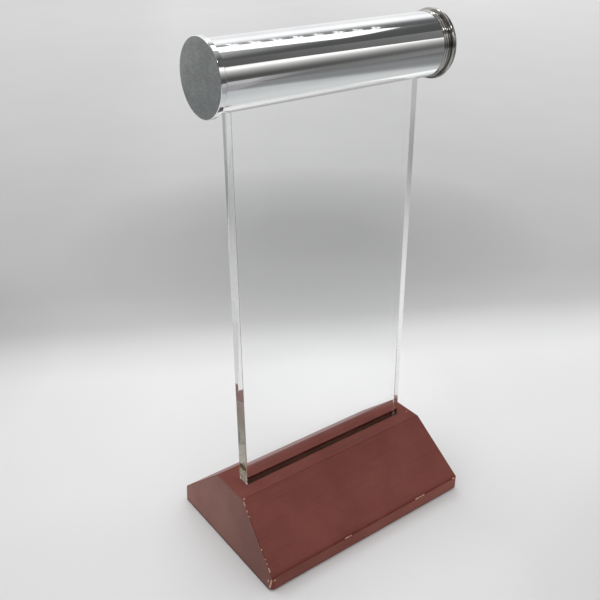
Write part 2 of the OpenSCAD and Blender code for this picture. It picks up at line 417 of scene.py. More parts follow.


# turned rings keep grime in their grooves; the darker grooves are also painted shade
def ringedMetal():
    mat, tree, shader = newMaterial("ringedMetal", 1.0)
    across = objectPlace(tree, (0, 1, 1), (0, 0, -axisHeight * mm))
    reach = put(tree, "ShaderNodeVectorMath", {0: across}, operation="LENGTH").outputs["Value"]
    depth = ramp(tree, spread(tree, reach, 0, 1, 15.3 * mm, 17.5 * mm),
                 [(0, (0.22, 0.21, 0.195)), (0.24, (0.28, 0.27, 0.25)), (0.36, (0.46, 0.45, 0.43)),
                  (0.47, (0.56, 0.55, 0.53)), (0.54, (0.56, 0.55, 0.53)), (0.75, (0.4, 0.39, 0.375)),
                  (1, (0.62, 0.615, 0.6))])
    haze = noise(tree, objectPlace(tree), 260, 4)
    patchy = ramp(tree, haze, [(0.3, (0.8, 0.79, 0.77)), (0.7, (1, 1, 1))])
    # painted shade lower down, and a darker line and a painted highlight band higher up, all by height
    paintedShading = ramp(tree, byPlace(tree, "Z", 244.5, 278.5),
                  greys([(0.03, 0.42), (0.088, 0.45), (0.132, 0.65), (0.19, 1.0), (0.588, 0.95), (0.632, 0.6),
                         (0.668, 0.7), (0.7, 1.35), (0.794, 1.35), (0.838, 1.0)]))
    turned = noise(tree, objectPlace(tree, (3000, 5, 5)), 1, 3, 0.7)
    surface(tree, shader, times(tree, times(tree, depth, patchy), paintedShading), spread(tree, haze, 0.05, 0.12),
            bump(tree, turned, 0.05, 0.2))
    return mat


satinLook = {"grey": (0.5, 0.527, 0.521), "greyDark": (0.335, 0.354, 0.351)}


def satinMetal():
    mat, tree, shader = newMaterial("satinMetal", 1.0)
    centred = objectPlace(tree, (1, 1, 1), (0, 0, -axisHeight * mm))
    values = {"Vector": centred, "Scale": 420, "Distortion": 1.2, "Detail": 2, "Detail Scale": 2}
    rings = put(tree, "ShaderNodeTexWave", values, wave_type="RINGS", rings_direction="X").outputs["Fac"]
    speck = noise(tree, objectPlace(tree), 950, 3)
    cloud = noise(tree, objectPlace(tree), 170, 4, 0.6)
    colour = ramp(tree, speck, [(0.3, satinLook["greyDark"]), (0.7, satinLook["grey"])])
    colour = times(tree, colour, ramp(tree, cloud, greys([(0.3, 0.78), (0.7, 1)])))
    # painted light: paler towards the top and back, darker at the front and below
    parts = put(tree, "ShaderNodeSeparateXYZ", {"Vector": centred})
    high = sums(tree, "ADD", parts.outputs["Z"], parts.outputs["Y"])
    paintedFalloff = ramp(tree, spread(tree, high, 0, 1, -18 * mm, 18 * mm),
                   [(0, (0.8, 0.8, 0.81)), (0.6, (0.83, 0.83, 0.83)), (1, (0.96, 0.96, 0.95))])
    grit = bump(tree, speck, 0.12, 0.2)
    surface(tree, shader, times(tree, colour, paintedFalloff), spread(tree, speck, 0.42, 0.54),
            bump(tree, rings, 0.05, 0.2, grit))
    return mat


# one cloudy pattern drives colour, gloss and bump
def cloudy(name, metal, scale, place, detail, stops, gloss, rough):
    mat, tree, shader = newMaterial(name, metal)
    cloud = noise(tree, objectPlace(tree, place), scale, detail)
    surface(tree, shader, ramp(tree, cloud, stops), spread(tree, cloud, *gloss),
            bump(tree, cloud, rough, 0.2))
    return mat


def pressedFelt():
    mat, tree, shader = newMaterial("pressedFelt")
    fibre = noise(tree, objectPlace(tree, (1, 1, 2)), 2600, 5, 0.7)
    clump = ramp(tree, noise(tree, objectPlace(tree), 420, 3), greys([(0.3, 0.6), (0.7, 1)]))
    colour = ramp(tree, fibre, [(0.3, (0.014, 0.013, 0.013)), (0.7, (0.06, 0.056, 0.055))])
    surface(tree, shader, mix(tree, 0.5, colour, clump, "MULTIPLY"), spread(tree, fibre, 0.85, 1.0),
            bump(tree, fibre, 0.8, 0.3))
    shader.inputs["Sheen Weight"].default_value = 0.3
    return mat


# the top, end and band finishes carry painted shade, painted sheen and painted light; the slot finish is
# painted shade
paint = redBrownPaint("redBrownPaint", "paint", lowLine=True)
topPaint = redBrownPaint("topPaint", "topPaint", sheen=0.035)
backPaint = redBrownPaint("backPaint", "paint", lowLine=True, sheen=0.65)
slotShadePaint = redBrownPaint("slotShadePaint", "slotShadePaint", sheen=0.02)
endPaint = redBrownPaint("endSheenPaint", "endPaint", fade=("Y", -20, 25, 0.84, 1.12))
endEdgePaint = redBrownPaint("endEdgePaint", "endPaint", into=("topPaint", 36.9, 37.95))
bandPaint = redBrownPaint("bandPaint", "bandPaint", fade=("X", -60, 60, 0.8, 1.06))
wood = bareWood("bareWood", "bareWood")
sawn = bareWood("sawnWood", "sawnWood")
soaked = bareWood("soakedWood", "sawnWood", (19, 36))
acrylic = clearAcrylic()
sawnFoot = sawnAcrylic()
mirror = polishedMetal()
ringed = ringedMetal()
satin = satinMetal()
zinc = cloudy("zincSteel", 1.0, 600, (1, 1, 1), 4,
              [(0.3, (0.42, 0.43, 0.45)), (0.55, (0.6, 0.61, 0.63)), (0.75, (0.62, 0.6, 0.55))],
              (0.26, 0.42), 0.1)
oxide = cloudy("blackSteel", 1.0, 900, (1, 1, 1), 4,
               [(0.3, (0.035, 0.035, 0.04)), (0.7, (0.075, 0.075, 0.08))], (0.35, 0.5), 0.12)
nylon = cloudy("blackNylon", 0.0, 1, (3200, 8, 8), 3,
               [(0.3, (0.022, 0.022, 0.025)), (0.7, (0.042, 0.042, 0.046))], (0.5, 0.66), 0.25)
felt = pressedFelt()
print("finishes ready")


# painted base block

baseSizes = {
    "length": 140, "depth": 92, "bottom": 0.4, "top": 38, "bandTop": 9,
    "topLength": 130, "topDepth": 26,
    "slotInset": 8.7, "slotDepth": 22, "paintInSlot": 32.6, "paintAtSlotEnds": 37.4,
    "longEdge": 1.5, "lowEdge": 1.0, "uprightCorner": 3.0, "endEdge": 0.7, "slotEdge": 0.25, "roundSteps": 6,
    "screwX": 36, "boreWide": 9.3, "boreTop": 5.4, "boreNarrow": 4.5,
    "cornerSteps": 10, "lowSteps": 4, "drillSteps": 64, "planRoom": 0.04,
}

# where areas of the base begin and end, in mm
baseAreas = {
    "slotX": 57, "slotY": 5, "slotRim": 6, "endFrom": 60, "endRound": 62.2, "bandFrom": 40, "rightCorner": 66,
    "boreX": 6, "boreY": 5, "boreLow": 1.2, "boreHigh": 17,
}

# the order is that of the base's material slots
baseFinishes = {
    "paint": paint, "end": endPaint, "band": bandPaint, "sawn": sawn, "chip": wood, "top": topPaint,
    "back": backPaint, "slot": slotShadePaint, "endEdge": endEdgePaint, "soaked": soaked,
}

# paint knocked off the edges: which edge, where on it in mm, size along and across it
edgeChips = [
    ("top", -64.0, 1.4, 1.0), ("slope", 36.2, 3.6, 0.62), ("slope", 33.6, 1.8, 0.46),
    ("slope", 31.6, 0.9, 0.66), ("slope", 19.5, 1.0, 0.7), ("slope", 16.0, 0.8, 0.52),
    ("slope", 14.4, 1.5, 0.46), ("slope", 12.4, 2.2, 0.72), ("slope", 11.7, 1.0, 0.95),
    ("corner", 5.9, 5.0, 1.1), ("corner", 3.0, 3.4, 1.2), ("end", -42.6, 1.9, 1.0),
    ("face", -67.4, 1.5, 1.2), ("band", -18.1, 3.4, 0.62), ("band", -15.7, 2.4, 0.5),
    ("band", 35.7, 3.2, 0.75), ("band", 38.5, 3.0, 0.55), ("band", 40.8, 1.8, 0.75),
    ("band", 66.2, 2.0, 0.8), ("back", 12.0, 3.4, 0.7), ("back", -41.0, 2.2, 0.6),
    ("fleck", 62.0, 0.9, 0.7),
]


def roundBack(radius, insideAngle):
    return radius * cos(radians(insideAngle / 2)) / sin(radians(insideAngle / 2))


def inSlot(p):
    return abs(p.x) < baseAreas["slotX"] * mm and abs(p.y) < baseAreas["slotY"] * mm


def makePaintedBase():
    s = baseSizes
    tall = s["top"] - s["bottom"]
    topZ, bandZ, lowZ = metres((s["top"], s["bandTop"], s["bottom"]))
    area = {name: size * mm for name, size in baseAreas.items()}
    close = 0.1 * mm
    base = addBox("paintedBase", (0, 0, s["bottom"] + tall / 2), (s["length"], s["depth"], tall))

    # band line, then the slopes are pulled in at the top
    edit(base)
    pickAll()
    cutLevel(s["bandTop"])
    endIn = (s["length"] - s["topLength"]) * ((s["bandTop"] - s["bottom"]) / tall)
    pick("VERT", lambda v: abs(v.co.z - bandZ) < close)
    bpy.ops.transform.resize(value=(1 - endIn / s["length"], 1, 1), center_override=(0, 0, bandZ))
    pick("VERT", lambda v: v.co.z > topZ - close)
    bpy.ops.transform.resize(value=(s["topLength"] / s["length"], s["topDepth"] / s["depth"], 1),
                             center_override=(0, 0, topZ))

    # slot for the panel, with lines where the paint in it ends
    pick("FACE", lambda f: f.normal.z > 0.99)
    bpy.ops.mesh.inset(thickness=s["slotInset"] * mm)
    pullOut((0, 0, -s["slotDepth"] * mm))
    pick("FACE", lambda f: inSlot(f.calc_center_median()) and abs(f.normal.y) > 0.9)
    cutLevel(s["paintInSlot"])
    pick("FACE", lambda f: inSlot(f.calc_center_median()) and abs(f.normal.x) > 0.9)
    cutLevel(s["paintAtSlotEnds"])

    # each edge gets a bevel weight for its own rounding
    slope = degrees(atan((s["top"] - s["bandTop"]) / ((s["depth"] - s["topDepth"]) / 2)))
    lean = degrees(atan((s["length"] - s["topLength"]) / 2 / tall))
    halfTop = s["topDepth"] / 2 * mm
    widest = s["longEdge"] * mm

    def weigh(width, test):
        pick("EDGE", test)
        bpy.ops.transform.edge_bevelweight(value=width * mm / widest)

    def onTop(e):
        return abs(middle(e).z - topZ) < close and abs(along(e).z) < 0.1

    weigh(roundBack(s["longEdge"], 180 - slope),
          lambda e: onTop(e) and abs(along(e).x) > 0.9 and abs(middle(e).y) > halfTop * 0.9)
    weigh(roundBack(s["longEdge"], 90 + lean),
          lambda e: onTop(e) and abs(along(e).y) > 0.9 and abs(middle(e).x) > area["endFrom"])
    weigh(s["slotEdge"],
          lambda e: onTop(e) and abs(middle(e).y) <= area["slotRim"] and abs(middle(e).x) <= area["endFrom"])
    weigh(roundBack(s["longEdge"], 90 + slope),
          lambda e: abs(middle(e).z - bandZ) < close and abs(along(e).x) > 0.9)
    weigh(s["endEdge"], lambda e: lowZ < middle(e).z < bandZ and abs(along(e).z) > 0.9)
    weigh(s["endEdge"], lambda e: bandZ < middle(e).z < topZ and abs(along(e).y) > 0.5)
    done()
    finishWith(base, "BEVEL", limit_method="WEIGHT", width=widest, segments=s["roundSteps"], profile=0.5,
               offset_type="OFFSET", use_clamp_overlap=True)

    # trimmed to a plan with round corners, then the low edge is eased
    room = s["planRoom"]
    plan = addBox("planCutter", (0, 0, s["top"] / 2), (s["length"] + room, s["depth"] + room, s["top"] + 20))
    edit(plan)
    pick("EDGE", lambda e: abs(along(e).z) > 0.9)
    roundEdges(s["uprightCorner"], s["cornerSteps"])
    done()
    cutAway(base, plan, "INTERSECT")
    edit(base)
    pick("EDGE", lambda e: max(abs(v.co.z - lowZ) for v in e.verts) < 0.01 * mm)
    roundEdges(s["lowEdge"], s["lowSteps"])
    done()

    # counterbored screw holes from below
    wide, narrow = s["boreWide"] / 2, s["boreNarrow"] / 2
    drillTop = s["top"] - s["slotDepth"] + 1
    for x in (-s["screwX"], s["screwX"]):
        steps = [(-1, 0), (-1, wide), (s["boreTop"], wide), (s["boreTop"], narrow), (drillTop, narrow),
                 (drillTop, 0)]
        cutAway(base, turnUpright("drill", steps, x, s["drillSteps"]))

    # paint stops a little way down the slot and outside the drilled holes
    def finishAt(c, n):
        slotEnd = abs(n.x) > 0.9
        paintedTo = s["paintAtSlotEnds"] if slotEnd else s["paintInSlot"]
        if n.z < -0.99 and c.z < lowZ + close:
            return "paint"
        if inSlot(c) and c.z < paintedTo * mm:
            return "soaked" if slotEnd else "sawn"
        # painted shade: the slot's upper walls take a near black paint
        if inSlot(c) and c.z < topZ - 0.02 * mm:
            return "slot"
        byBore = abs(abs(c.x) - s["screwX"] * mm) < area["boreX"] and abs(c.y) < area["boreY"]
        if byBore and area["boreLow"] < c.z < area["boreHigh"]:
            return "sawn"
        if abs(n.x) > 0.98 and abs(c.x) > area["endFrom"]:
            return "end"  # end faces take the paler end tone, with painted sheen
        if abs(n.y) > 0.99 and c.z < bandZ and abs(c.y) > area["bandFrom"]:
            return "band"
        if c.x > area["rightCorner"] and abs(n.y) > 0.4 and abs(n.z) < 0.3 and c.z < bandZ:
            return "band"  # its tone runs round the right corners
        if abs(c.x) > area["endRound"] and abs(c.y) < halfTop and n.z < 0.999:
            return "endEdge"  # rounding between the end and the top
        if n.z > 0.999 and c.z > topZ - close:
            return "top"
        return "back" if n.y > 0.6 and n.z > 0.7 else "paint"

    wear(base, *baseFinishes.values())
    order = list(baseFinishes)
    for polygon in base.data.polygons:
        polygon.material_index = order.index(finishAt(polygon.center, polygon.normal))
    for index, chip in enumerate(edgeChips):
        cutAway(base, chipTool(index, *chip), material="TRANSFER")
    markShadedEdges(base)
    smooth(base, 35)
    standsFor(base, "base_block")


# how much painted shade each rounding between two flats gets, and where that changes
edgeShadeLook = {
    "edge": 0.9, "top": 0.1, "low": 0.3, "leftCorner": 0.45, "rightCorner": 0.1, "flat": 0.02,
    "topFrom": 36.5, "topWithin": 12.4, "lowBelow": 3, "cornerBelow": 11.8, "cornerX": 66.5, "cornerY": 42.8,
}


def markShadedEdges(base):
    s = baseSizes
    tall = s["top"] - s["bottom"]
    endNormal = Vector((tall, 0, (s["length"] - s["topLength"]) / 2)).normalized()
    slopeNormal = Vector((0, s["top"] - s["bandTop"], (s["depth"] - s["topDepth"]) / 2)).normalized()
    endPoint = Vector((s["topLength"] / 2, 0, s["top"])) * mm
    slopePoint = Vector((0, s["topDepth"] / 2, s["top"])) * mm
    layer = base.data.attributes.new("paintedShading", "FLOAT", "POINT")
    r = edgeShadeLook
    for v in base.data.vertices:
        p = Vector((abs(v.co.x), abs(v.co.y), v.co.z))
        flats = (abs(p.z - s["top"] * mm), abs(p.z - s["bottom"] * mm), abs(p.y - s["depth"] / 2 * mm),
                 abs((p - endPoint).dot(endNormal)), abs((p - slopePoint).dot(slopeNormal)))
        amount = r["edge"]
        if p.z > r["topFrom"] * mm and p.y < r["topWithin"] * mm:
            amount = r["top"]
        elif p.z < r["lowBelow"] * mm:
            amount = r["low"]
        elif p.z < r["cornerBelow"] * mm and p.x > r["cornerX"] * mm and p.y > r["cornerY"] * mm:
            amount = r["leftCorner"] if v.co.x < 0 else r["rightCorner"]
        if min(flats) < r["flat"] * mm or p.y < baseAreas["slotRim"] * mm:
            amount = 0.0
        layer.data[v.index].value = amount


chipPlaces = {"endHeight": 5.4, "faceHeight": 7.2, "fleckY": -6.2, "bandIn": 0.998}


# where a chip sits and which way its edge runs
def edgePlace(kind, at):
    s = baseSizes
    side = s["depth"] / 2
    inward = (s["length"] - s["topLength"]) / 2 / (s["top"] - s["bottom"])
    run = (s["depth"] - s["topDepth"]) / 2 / (s["top"] - s["bandTop"])

    def endX(z):
        return -s["length"] / 2 + inward * (z - s["bottom"])

    def onCurl(z):
        curl = s["uprightCorner"]
        return -side + curl - sqrt(curl ** 2 - (-s["length"] / 2 + curl - endX(z)) ** 2)

    if kind == "slope":
        return (endX(at) + 0.1, -side + run * (at - s["bandTop"]) + 0.1, at), (inward, run, 1)
    if kind == "corner":
        return (endX(at) + 0.05, onCurl(at), at), (inward, onCurl(at + 0.5) - onCurl(at - 0.5), 1)
    c = chipPlaces
    if kind == "end":
        return (endX(c["endHeight"]), at, c["endHeight"]), (inward, 0, 1)
    spots = {"face": (-side, c["faceHeight"]), "fleck": (c["fleckY"], s["top"]),
             "top": (-s["topDepth"] / 2, s["top"]), "band": (-side * c["bandIn"], s["bandTop"]),
             "back": (side * c["bandIn"], s["bandTop"])}
    return (at, *spots[kind]), alongX


# a small uneven lump that bites the paint off an edge
def chipTool(index, kind, at, length, width):
    place, run = edgePlace(kind, at)
    noneSelected()
    bpy.ops.mesh.primitive_ico_sphere_add(subdivisions=2, radius=0.5 * mm)
    tool = bpy.context.object
    tool.rotation_mode = "QUATERNION"
    tool.rotation_quaternion = Vector(alongX).rotation_difference(Vector(run).normalized())
    tool.scale = (length, width, width)
    tool.location = metres(place)
    named("chip%02d" % index)
    edit(tool)
    pickAll()
    bpy.ops.transform.vertex_random(offset=0.12 * mm * width, seed=index + 3)
    done()
    wear(tool, wood)
    return tool


makePaintedBase()
print("base block done")


# clear panel

panelSizes = {
    "width": 112, "thick": 8, "low": 16.05, "high": 256.5, "edge": 0.4, "edgeSteps": 3, "sawnRise": 0.5,
    "lowHole": (36, 4.1, 15, 26), "highHole": (35, 3.1, 248.5, 258), "holeSteps": 32,
}


def makeClearPanel():
    s = panelSizes
    size = (s["width"], s["thick"], s["high"] - s["low"])
    panel = addBox("clearPanel", (0, 0, (s["low"] + s["high"]) / 2), size)
    edit(panel)
    bpy.ops.mesh.select_mode(type="EDGE")
    pickAll()
    roundEdges(s["edge"], s["edgeSteps"])
    done()
    for x, wide, low, high in (s["lowHole"], s["highHole"]):
        for side in (-x, x):
            steps = [(low, 0), (low, wide / 2), (high, wide / 2), (high, 0)]
            cutAway(panel, turnUpright("tap", steps, side, s["holeSteps"]))
    wear(panel, acrylic, sawnFoot)
    for polygon in panel.data.polygons:
        atFoot = polygon.normal.z < -0.2 and polygon.center.z < (s["low"] + s["sawnRise"]) * mm
        polygon.material_index = 1 if atFoot else 0
    smooth(panel, 35)
    panel.visible_shadow = False
    standsFor(panel, "acrylic_panel")


makeClearPanel()
print("panel done")


# polished tube

tubeSizes = {
    "left": -65.25, "right": 61.25, "radius": 16, "wall": 3, "segments": 224,
    "slotLeft": -56.3, "slotWide": 8.6, "slotHigh": 16, "slotPast": 5, "endEdge": 0.3, "endSteps": 3,
}


def makePolishedTube():
    s = tubeSizes
    halfway = (s["left"] + s["right"]) / 2
    long = s["right"] - s["left"]
    tube = addCylinder("polishedTube", (halfway, 0, axisHeight), s["radius"], long, s["segments"], levelTurn)

    # bore: both end faces inset to the bore, then bridged through
    edit(tube)
    pick("FACE", lambda f: abs(f.normal.x) > 0.9)
    bpy.ops.mesh.inset(thickness=s["wall"] * mm)
    bpy.ops.mesh.delete(type="ONLY_FACE")
    boreReach = (s["radius"] - s["wall"]) * mm * 1.01

    def out(v):
        return sqrt(v.co.y ** 2 + (v.co.z - axisHeight * mm) ** 2)

    pick("EDGE", lambda e: out(e.verts[0]) < boreReach and out(e.verts[1]) < boreReach)
    bpy.ops.mesh.bridge_edge_loops()
    pickAll()
    bpy.ops.mesh.normals_make_consistent(inside=False)
    close = 0.01 * mm
    pick("EDGE", lambda e: abs(along(e).x) < 0.1
         and abs(abs(middle(e).x - halfway * mm) - long / 2 * mm) < close
         and abs(out(e.verts[0]) - out(e.verts[1])) < close)
    roundEdges(s["endEdge"], s["endSteps"])
    done()

    # slot along the underside, open at the right end
    slotRight = s["right"] + s["slotPast"]
    cutAway(tube, addBox("slotCutter", ((s["slotLeft"] + slotRight) / 2, 0, axisHeight - s["radius"]),
                         (slotRight - s["slotLeft"], s["slotWide"], s["slotHigh"])))
    wear(tube, mirror)
    smooth(tube, 32)
    standsFor(tube, "head_tube")


makePolishedTube()
print("tube done")


# end caps

capSizes = {
    "lip": 17.5, "edge": 0.4, "flange": 3, "spigot": 12.95, "spigotLength": 4.5, "lead": 0.4,
    "studHole": 2.55, "studDepth": 5.25, "steps": 192, "satinInset": 4,
    "ring": 1.5, "ringTop": 16.4, "ringRound": 0.5, "groove": 1.5, "grooveDepth": 0.5,
    "ringFlange": 2.5, "ringFlangeEdge": 0.8, "edgeSteps": 5, "flangeSteps": 7, "ringSteps": 8,
}


# spigot and stud hole; side is 1 for a cap whose spigot points right, -1 for left
def spigotPoints(joint, side):
    s = capSizes
    end = joint + side * s["spigotLength"]
    deep = end - side * s["studDepth"]
    return [(joint, s["spigot"]), (end - side * s["lead"], s["spigot"]), (end, s["spigot"] - s["lead"]),
            (end, s["studHole"]), (deep, s["studHole"]), (deep, 0)]


def makePlainCap():
    s = capSizes
    joint = tubeSizes["left"]
    face = joint - s["flange"]
    e = s["edge"]
    profile = [(face, 0), (face, s["lip"] - s["satinInset"])]
    profile += arcPoints((face + e, s["lip"] - e), e, 180, 90, s["edgeSteps"])
    profile += arcPoints((joint - e, s["lip"] - e), e, 90, 0, s["edgeSteps"])
    turnCap("plainEndCap", profile + spigotPoints(joint, 1), face, mirror, "left_end_cap")


# curve radius and half angle of a shallow arc, from its width and height
def shallowArc(width, height):
    return ((width / 2) ** 2 + height ** 2) / (2 * height), degrees(2 * atan(height / (width / 2)))


def makeRingedCap():
    s = capSizes
    joint = tubeSizes["right"]
    flangeAt = joint + 2 * s["ring"] + s["groove"]
    face = flangeAt + s["ringFlange"]
    e = s["ringFlangeEdge"]
    profile = [(face, 0), (face, s["lip"] - s["satinInset"])]
    profile += arcPoints((face - e, s["lip"] - e), e, 0, 90, s["flangeSteps"])
    profile += arcPoints((flangeAt + e, s["lip"] - e), e, 90, 180, s["flangeSteps"])
    curve, swing = shallowArc(s["groove"], s["grooveDepth"])
    grooveMiddle = s["ringTop"] - s["ringRound"] - s["grooveDepth"] + curve
    profile += arcPoints((flangeAt - s["groove"] / 2, grooveMiddle), curve, swing - 90, -90 - swing,
                         s["ringSteps"])
    curve, swing = shallowArc(s["ring"], s["ringRound"])
    for k in (1.5, 0.5):
        profile += arcPoints((joint + k * s["ring"], s["ringTop"] - curve), curve, 90 - swing, 90 + swing,
                             s["ringSteps"])
    turnCap("ringedEndCap", profile + spigotPoints(joint, -1), face, ringed, "right_end_cap")


# satin outer face inside a polished rim
def turnCap(name, profile, face, rim, node):
    cap = turnLevel(name, profile, capSizes["steps"])
    wear(cap, rim, satin)
    for polygon in cap.data.polygons:
        polygon.material_index = 1 if abs(polygon.center.x - face * mm) < 0.01 * mm else 0
    smooth(cap, 32)
    standsFor(cap, node)


makePlainCap()
makeRingedCap()
print("end caps done")


# hidden fixings

def threadProfile(start, stop, radius, pitch, depth):
    points = []
    turns = int(abs(stop - start) / pitch)
    step = (stop - start) / turns
    for k in range(turns):
        points += [(start + step * k, radius - depth), (start + step * (k + 0.42), radius),
                   (start + step * (k + 0.58), radius)]
    points.append((stop, radius - depth))
    return points


def dressFixing(obj, finish):
    wear(obj, finish)
    smooth(obj, 30, False)


def hexSocket(obj, place, wide, depth, turn):
    cutAway(obj, addCylinder("hexKey", place, wide / 2, 2 * depth, 6, turn))


# the right one of a pair is a copy of the left one
def pairUp(left, finish, rightName, shift, node, turn=0):
    dressFixing(left, finish)
    for one in (left, copyOf(left, rightName, (shift, 0, 0), turn)):
        standsFor(one, node)


studSizes = {
    "start": -65.75, "stop": -51.5, "radius": 2.5, "pitch": 0.8, "thread": 0.42, "lead": 0.5,
    "socket": 2.75, "socketDepth": 2.5, "rightShift": -4, "steps": 48,
}


def makeCapStuds():
    s = studSizes
    start, stop, radius = sizesOf(s, "start stop radius")
    tip = radius - s["lead"]
    points = [(start, 0), (start, tip)]
    points += threadProfile(start + 0.3, stop - 0.3, radius, s["pitch"], s["thread"])
    points += [(stop, tip), (stop, 0)]
    left = turnLevel("leftCapStud", points, s["steps"])
    hexSocket(left, (start, 0, axisHeight), s["socket"], s["socketDepth"], levelTurn)
    pairUp(left, zinc, "rightCapStud", s["rightShift"], "cap_studs", 180)


coreScrewSizes = {
    "x": -35, "low": 249, "under": 262.5, "top": 265.5, "radius": 1.5, "pitch": 0.5, "thread": 0.27,
    "head": 2.7, "headEdge": 0.25, "socket": 3.0, "socketDepth": 1.5, "steps": 48,
}


def makeCoreScrews():
    s = coreScrewSizes
    x, low, under, top, radius, head, e = sizesOf(s, "x low under top radius head headEdge")
    points = [(low, 0), (low, radius - 0.4)]
    points += threadProfile(low + 0.3, under - 0.6, radius, s["pitch"], s["thread"])
    points += [(under - 0.4, radius), (under, radius), (under, head - e), (under + e, head)]
    points += arcPoints((top - e, head - e), e, 90, 0, 4) + [(top, 0)]
    left = turnUpright("leftCoreScrew", points, x, s["steps"])
    hexSocket(left, (x, 0, top), s["socket"], s["socketDepth"], (0, 0, 0))
    pairUp(left, oxide, "rightCoreScrew", -2 * x, "core_screws")


baseScrewSizes = {
    "x": -36, "low": 2.2, "under": 4.6, "top": 25, "radius": 2.0, "pitch": 0.7, "thread": 0.36, "head": 3.8,
    "headRound": 1.1, "headEdge": 0.15, "cross": (4.18, 0.88, 2.4), "steps": 56,
}


def makeBaseScrews():
    s = baseScrewSizes
    x, low, under, top, radius, head = sizesOf(s, "x low under top radius head")
    e = s["headRound"]
    points = [(low, 0)] + arcPoints((low + e, head - e), e, 180, 90, 6)
    e = s["headEdge"]
    points += [(under - e, head), (under, head - e), (under, radius)]
    points += threadProfile(under + 0.9, top - 0.5, radius, s["pitch"], s["thread"])
    points += [(top, radius - 0.6), (top, 0)]
    left = turnUpright("leftBaseScrew", points, x, s["steps"])
    for turn in (0, pi / 2):
        cutAway(left, addBox("crossBit", (x, 0, low), s["cross"], turn))
    pairUp(left, zinc, "rightBaseScrew", -2 * x, "base_screws")


washerSizes = {"x": -36, "low": 4.6, "high": 5.4, "hole": 2.25, "radius": 4.4, "edge": 0.15, "steps": 64}


def makeBaseWashers():
    x, low, high, hole, radius, e, steps = sizesOf(washerSizes, "x low high hole radius edge steps")
    points = [(low + e, hole), (low, hole + e), (low, radius - e), (low + e, radius), (high - e, radius),
              (high, radius - e), (high, hole + e), (high - e, hole), (low + e, hole)]
    left = turnUpright("leftBaseWasher", points, x, steps)
    pairUp(left, zinc, "rightBaseWasher", -2 * x, "base_washers")


padSizes = {
    "x": 58, "y": 34, "radius": 6, "low": 0.03, "high": 0.39, "edge": 0.1, "edgeSteps": 2, "steps": 60,
    "insets": (1.2, 2.0), "uneven": 0.02,
}


# felt dots pressed thin under the base
def makeFootPads():
    s = padSizes
    pad = addCylinder("frontLeftPad", (-s["x"], -s["y"], (s["low"] + s["high"]) / 2), s["radius"],
                      s["high"] - s["low"], s["steps"])
    edit(pad)
    pick("EDGE", lambda e: abs(along(e).z) < 0.1)
    roundEdges(s["edge"], s["edgeSteps"])
    pick("FACE", lambda f: abs(f.normal.z) > 0.99)
    for width in s["insets"]:
        bpy.ops.mesh.inset(thickness=width * mm)
    bpy.ops.mesh.select_mode(type="VERT")
    pickAll()
    bpy.ops.transform.vertex_random(offset=s["uneven"] * mm, seed=7)
    done()
    dressFixing(pad, felt)
    pads = [pad]
    for name, x, y in (("frontRightPad", 2, 0), ("backLeftPad", 0, 2), ("backRightPad", 2, 2)):
        pads.append(copyOf(pad, name, (x * s["x"], y * s["y"], 0)))
    for pad in pads:
        standsFor(pad, "foot_pads")


makeCapStuds()
makeCoreScrews()
makeBaseScrews()
makeBaseWashers()
makeFootPads()
wear(bpy.data.objects["core_rod"], nylon)  # the rod keeps its built shape
print("fixings done")


# floor, light and camera

stageLook = {
    "turn": 61.0, "near": -0.5, "far": 2.5, "side": 1.2,
    "tones": [(-0.3, 0.76), (-0.08, 0.8), (0.03, 0.86), (0.15, 0.89), (0.185, 0.78), (0.23, 0.56),
              (0.29, 0.51), (0.43, 0.54), (0.58, 0.57), (0.75, 0.61), (1.0, 0.64), (1.4, 0.66), (2.1, 0.69)],
    "sideTones": [(-1.1, 0.98), (-0.8, 0.97), (-0.5, 0.93), (-0.25, 0.875), (-0.1, 0.9), (0.1, 0.91),
                  (0.2, 0.85), (0.45, 0.82), (0.6, 0.81)],
    # shades: centre, size, depth and edge of each painted shadow; a depth below 0 is a painted pool of light
    "shades": [((0.41, -0.05), (0.23, 0.26), 0.29, 0.8), ((0.19, 0.53), (0.27, 0.35), 0.43, 0.85),
               ((-0.19, -0.41), (0.27, 0.35), 0.35, 0.9), ((-0.078, -0.03), (0.065, 0.08), -0.1, 0.8),
               ((0.105, -0.03), (0.085, 0.09), -0.085, 0.7)],
}


# pale sweep with painted light and shade: tone by distance and by side, soft painted shadows and two painted
# pools of light
def makeFloor():
    s = stageLook
    noneSelected()
    bpy.ops.mesh.primitive_plane_add(size=16, location=(0, 0, -0.1 * mm))
    floor = named("paleFloor")
    mat, tree, shader = newMaterial("paleSweep")
    coord = put(tree, "ShaderNodeTexCoord").outputs["Object"]
    turned = put(tree, "ShaderNodeVectorRotate", {"Vector": coord, "Angle": radians(-s["turn"])},
                 rotation_type="Z_AXIS").outputs[0]
    parts = put(tree, "ShaderNodeSeparateXYZ", {"Vector": turned})
    away = ramp(tree, spread(tree, parts.outputs["X"], 0, 1, s["near"], s["far"]),
                greys(s["tones"], s["near"], s["far"]))
    across = ramp(tree, spread(tree, parts.outputs["Y"], 0, 1, -s["side"], s["side"]),
                  greys(s["sideTones"], -s["side"], s["side"]))
    tone = times(tree, away, across)
    for centre, size, depth, edge in s["shades"]:
        spot = put(tree, "ShaderNodeMapping", {"Vector": turned, "Scale": (1 / size[0], 1 / size[1], 0),
                                               "Location": (-centre[0] / size[0], -centre[1] / size[1], 0)})
        blob = put(tree, "ShaderNodeTexGradient", {"Vector": spot.outputs[0]}, gradient_type="SPHERICAL")
        shade = greys([(0, 1), (0.44 * edge, 1 - depth / 2), (edge, 1 - depth)])
        tone = times(tree, tone, ramp(tree, blob.outputs["Fac"], shade))
    paper = noise(tree, turned, 9, 4, 0.6)
    tone = times(tree, tone, ramp(tree, paper, [(0.3, (0.975, 0.975, 0.98)), (0.7, (1, 1, 1))]))
    surface(tree, shader, tone, 0.9)
    shader.inputs["Specular IOR Level"].default_value = 0.1
    wear(floor, mat)


